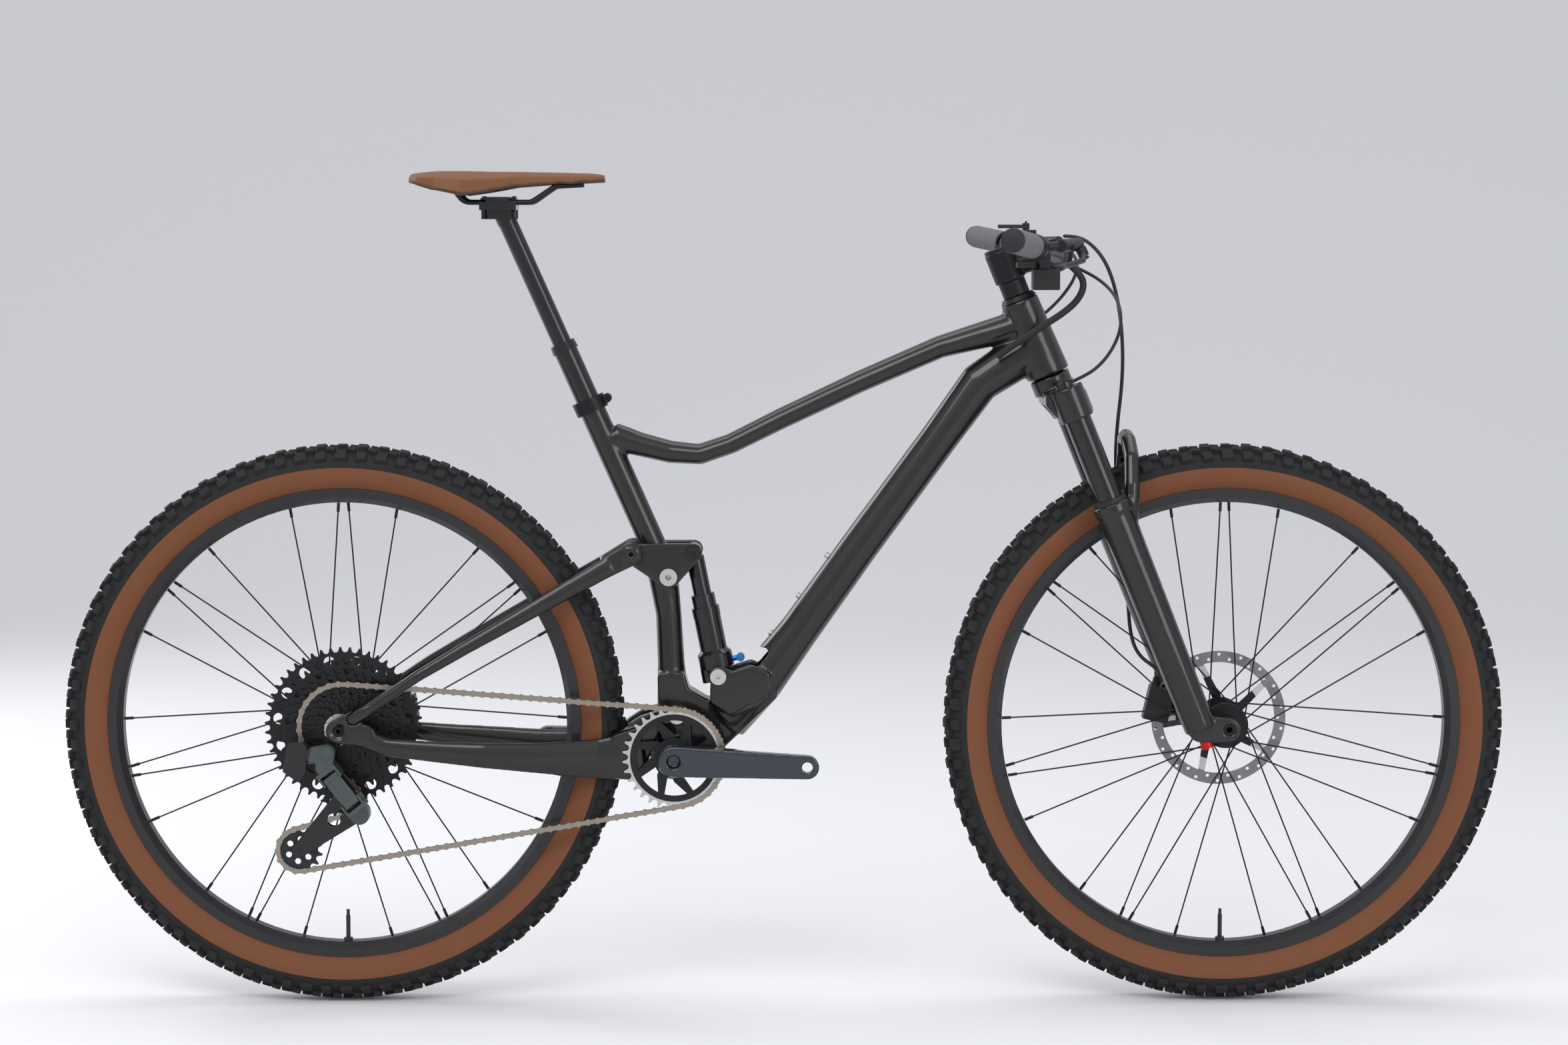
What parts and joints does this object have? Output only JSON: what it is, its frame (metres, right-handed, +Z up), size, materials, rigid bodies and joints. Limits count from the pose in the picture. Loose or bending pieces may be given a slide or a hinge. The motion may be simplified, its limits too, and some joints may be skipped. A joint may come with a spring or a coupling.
{
  "type": "mountain bike",
  "caption": "Full-suspension mountain bike with wide tyres, disc brakes, a single chainring, a dropper seat post and no pedals fitted",
  "frame": {"origin": "on the ground, midway between the two axles", "axes": "+X forward, +Y to the bike's left (away from the chain), +Z up"},
  "size_m": [1.9065, 0.7556, 1.1],
  "materials": {
    "carbon_frame": "gloss clear coat over carbon",
    "rocker_metal": "gloss black",
    "black_metal": "satin black anodised",
    "caliper_metal": "satin black",
    "dropper_black": "hard anodised black",
    "shock_black": "gloss black",
    "rubber_tyre": "black tread with orange-brown side walls",
    "rim_carbon": "satin black",
    "spoke_black": "black oxide",
    "rotor_steel": "ground steel with black arms",
    "cassette_black": "black coated",
    "ring_steel": "silver teeth on a dark carrier",
    "crank_carbon": "gloss blue-black",
    "chain_steel": "nickel plate, lightly worn",
    "pulley_plastic": "moulded black",
    "derailleur_grey": "anodised grey and black",
    "battery_plastic": "moulded dark grey",
    "fork_black": "gloss black",
    "stanchion_black": "hard anodised black",
    "grip_rubber": "ribbed grey",
    "hose_black": "black hose",
    "rail_steel": "black rails",
    "saddle_black": "moulded black",
    "saddle_tan": "tan cover"
  },
  "bodies": {
    "frame": {"main_frame": "carbon_frame", "frame_fittings": "black_metal", "headset": "black_metal", "bottom_bracket": "black_metal", "seat_clamp": "black_metal", "pivot_bolts": "black_metal", "dropper_outer": "dropper_black"},
    "swingarm": {"swingarm": "carbon_frame", "rear_axle": "black_metal", "derailleur_hanger": "black_metal", "rear_brake_caliper": "caliper_metal", "derailleur_knuckle": "derailleur_grey", "chain": "chain_steel"},
    "seatstays": {"seatstays": "carbon_frame"},
    "rocker": {"rocker": "rocker_metal"},
    "shock_body": {"shock_body": "shock_black"},
    "shock_shaft": {"shock_shaft": "shock_black"},
    "steering": {"fork_crown": "fork_black", "stanchions": "stanchion_black", "stem": "black_metal", "handlebar": "black_metal", "grips": "grip_rubber", "brake_lever_bodies": "caliper_metal", "bar_controls": "battery_plastic", "cable_bundle": "hose_black", "dropper_cable": "hose_black", "lockout_cable": "hose_black", "front_brake_hose": "hose_black"},
    "fork_lowers": {"fork_lowers": "fork_black", "fork_fittings": "stanchion_black", "front_axle": "black_metal", "front_brake_caliper": "caliper_metal"},
    "front_wheel": {"front_tyre": "rubber_tyre", "front_rim": "rim_carbon", "front_spokes": "spoke_black", "front_hub": "black_metal", "front_rotor": "rotor_steel"},
    "rear_wheel": {"rear_tyre": "rubber_tyre", "rear_rim": "rim_carbon", "rear_spokes": "spoke_black", "rear_hub": "black_metal", "rear_rotor": "rotor_steel"},
    "cassette": {"cassette": "cassette_black"},
    "crankset": {"crankset": "crank_carbon", "chainring": "ring_steel"},
    "outer_link": {"derailleur_outer_link": "derailleur_grey"},
    "inner_link": {"derailleur_inner_link": "derailleur_grey"},
    "p_knuckle": {"derailleur_p_knuckle": "derailleur_grey"},
    "cage": {"derailleur_cage": "derailleur_grey"},
    "upper_pulley": {"upper_pulley": "pulley_plastic"},
    "lower_pulley": {"lower_pulley": "pulley_plastic"},
    "seatpost": {"dropper_stanchion": "dropper_black", "saddle_rails": "rail_steel", "saddle_shell": "saddle_black", "saddle_cover": "saddle_tan"},
    "brake_lever_right": {"brake_lever_right": "caliper_metal"},
    "brake_lever_left": {"brake_lever_left": "caliper_metal"},
    "shifter_paddle": {"shifter_paddle": "battery_plastic"},
    "remote_paddle": {"remote_paddle": "battery_plastic"}
  },
  "joints": [
    {"name": "rear_suspension", "type": "hinge", "parent": "frame", "child": "swingarm", "pos_m": [-0.1415, 0, 0.386], "axis": [0, 1, 0], "range_deg": [0, 15], "stiffness_Nm_per_rad": 700, "springref_deg": -8.59, "deforming": ["chain"]},
    {"name": "stay_flex", "type": "hinge", "parent": "swingarm", "child": "seatstays", "pos_m": [-0.563, 0, 0.3875], "axis": [0, 1, 0], "range_deg": [-3.93, 0.5]},
    {"name": "rocker_pivot", "type": "hinge", "parent": "frame", "child": "rocker", "pos_m": [-0.1525, 0, 0.568], "axis": [0, 1, 0], "range_deg": [0, 61.34]},
    {"name": "shock_swing", "type": "hinge", "parent": "frame", "child": "shock_body", "pos_m": [-0.0872, 0, 0.4363], "axis": [0, 1, 0], "range_deg": [0, 3.15]},
    {"name": "shock_compress", "type": "slide", "parent": "shock_body", "child": "shock_shaft", "axis": [0.1958, 0, -0.9806], "range_m": [0, 0.0465]},
    {"name": "steering", "type": "hinge", "parent": "frame", "child": "steering", "pos_m": [0.32835, 0, 0.88209], "axis": [-0.3746, 0, 0.9272], "range_deg": [-60, 60], "deforming": ["cable_bundle", "dropper_cable"]},
    {"name": "fork_travel", "type": "slide", "parent": "steering", "child": "fork_lowers", "axis": [-0.3746, 0, 0.9272], "range_m": [0, 0.105], "stiffness_N_per_m": 6000, "springref_m": -0.02, "deforming": ["front_brake_hose"]},
    {"name": "front_wheel_spin", "type": "hinge", "parent": "fork_lowers", "child": "front_wheel", "pos_m": [0.5823, 0, 0.371], "axis": [0, 1, 0], "continuous": true},
    {"name": "rear_wheel_spin", "type": "hinge", "parent": "swingarm", "child": "rear_wheel", "pos_m": [-0.5823, 0, 0.371], "axis": [0, 1, 0], "continuous": true},
    {"name": "crank_spin", "type": "hinge", "parent": "frame", "child": "crankset", "pos_m": [-0.145, 0, 0.331], "axis": [0, 1, 0], "continuous": true},
    {"name": "cassette_spin", "type": "hinge", "parent": "swingarm", "child": "cassette", "pos_m": [-0.5823, 0, 0.371], "axis": [0, 1, 0], "continuous": true},
    {"name": "derailleur_shift", "type": "hinge", "parent": "swingarm", "child": "outer_link", "pos_m": [-0.591, -0.091, 0.311], "axis": [0.7848, 0, 0.6198], "range_deg": [-10, 19.5]},
    {"name": "inner_link_swing", "type": "hinge", "parent": "swingarm", "child": "inner_link", "pos_m": [-0.591, -0.072, 0.311], "axis": [0.7848, 0, 0.6198], "range_deg": [-11, 20.5]},
    {"name": "p_knuckle_swing", "type": "hinge", "parent": "outer_link", "child": "p_knuckle", "pos_m": [-0.56497, -0.091, 0.27804], "axis": [0.7848, 0, 0.6198], "range_deg": [-20.5, 11]},
    {"name": "cage_swing", "type": "hinge", "parent": "p_knuckle", "child": "cage", "pos_m": [-0.557, 0, 0.259], "axis": [0, -1, 0], "range_deg": [-41.5, 79.03]},
    {"name": "upper_pulley_spin", "type": "hinge", "parent": "cage", "child": "upper_pulley", "pos_m": [-0.585, 0, 0.277], "axis": [0, 1, 0], "continuous": true},
    {"name": "lower_pulley_spin", "type": "hinge", "parent": "cage", "child": "lower_pulley", "pos_m": [-0.64087, 0, 0.20644], "axis": [0, 1, 0], "continuous": true},
    {"name": "dropper", "type": "slide", "parent": "frame", "child": "seatpost", "axis": [0.4067, 0, -0.9135], "range_m": [0, 0.15], "stiffness_N_per_m": 900, "springref_m": -0.05},
    {"name": "brake_lever_right_pull", "type": "hinge", "parent": "steering", "child": "brake_lever_right", "pos_m": [0.37524, -0.176, 0.99606], "axis": [0.4202, 0, -0.9074], "range_deg": [0, 12], "stiffness_Nm_per_rad": 1, "springref_deg": -5.73},
    {"name": "brake_lever_left_pull", "type": "hinge", "parent": "steering", "child": "brake_lever_left", "pos_m": [0.37524, 0.176, 0.99606], "axis": [-0.4202, 0, 0.9074], "range_deg": [0, 12], "stiffness_Nm_per_rad": 1, "springref_deg": -5.73},
    {"name": "shifter_push", "type": "hinge", "parent": "steering", "child": "shifter_paddle", "pos_m": [0.31823, -0.178, 0.9793], "axis": [0, 0, 1], "range_deg": [-12, 12], "stiffness_Nm_per_rad": 0.2},
    {"name": "remote_push", "type": "hinge", "parent": "steering", "child": "remote_paddle", "pos_m": [0.33023, 0.176, 1.0273], "axis": [0, 0, -1], "range_deg": [0, 15], "stiffness_Nm_per_rad": 0.2, "springref_deg": -2.86}
  ],
  "couplings": [
    {"joint": "stay_flex", "follows": "rear_suspension", "ratio": -0.22834},
    {"joint": "rocker_pivot", "follows": "rear_suspension", "ratio": 4.0226},
    {"joint": "shock_swing", "follows": "rear_suspension", "ratio": 0.19},
    {"joint": "shock_compress", "follows": "rear_suspension", "m_per_rad": 0.17},
    {"joint": "cassette_spin", "follows": "crank_spin", "ratio": 1.1429},
    {"joint": "upper_pulley_spin", "follows": "crank_spin", "ratio": -2.6667},
    {"joint": "lower_pulley_spin", "follows": "crank_spin", "ratio": 2.2857},
    {"joint": "inner_link_swing", "follows": "derailleur_shift", "ratio": 1},
    {"joint": "p_knuckle_swing", "follows": "derailleur_shift", "ratio": -1},
    {"joint": "cage_swing", "follows": "derailleur_shift", "ratio": 3.95}
  ]
}
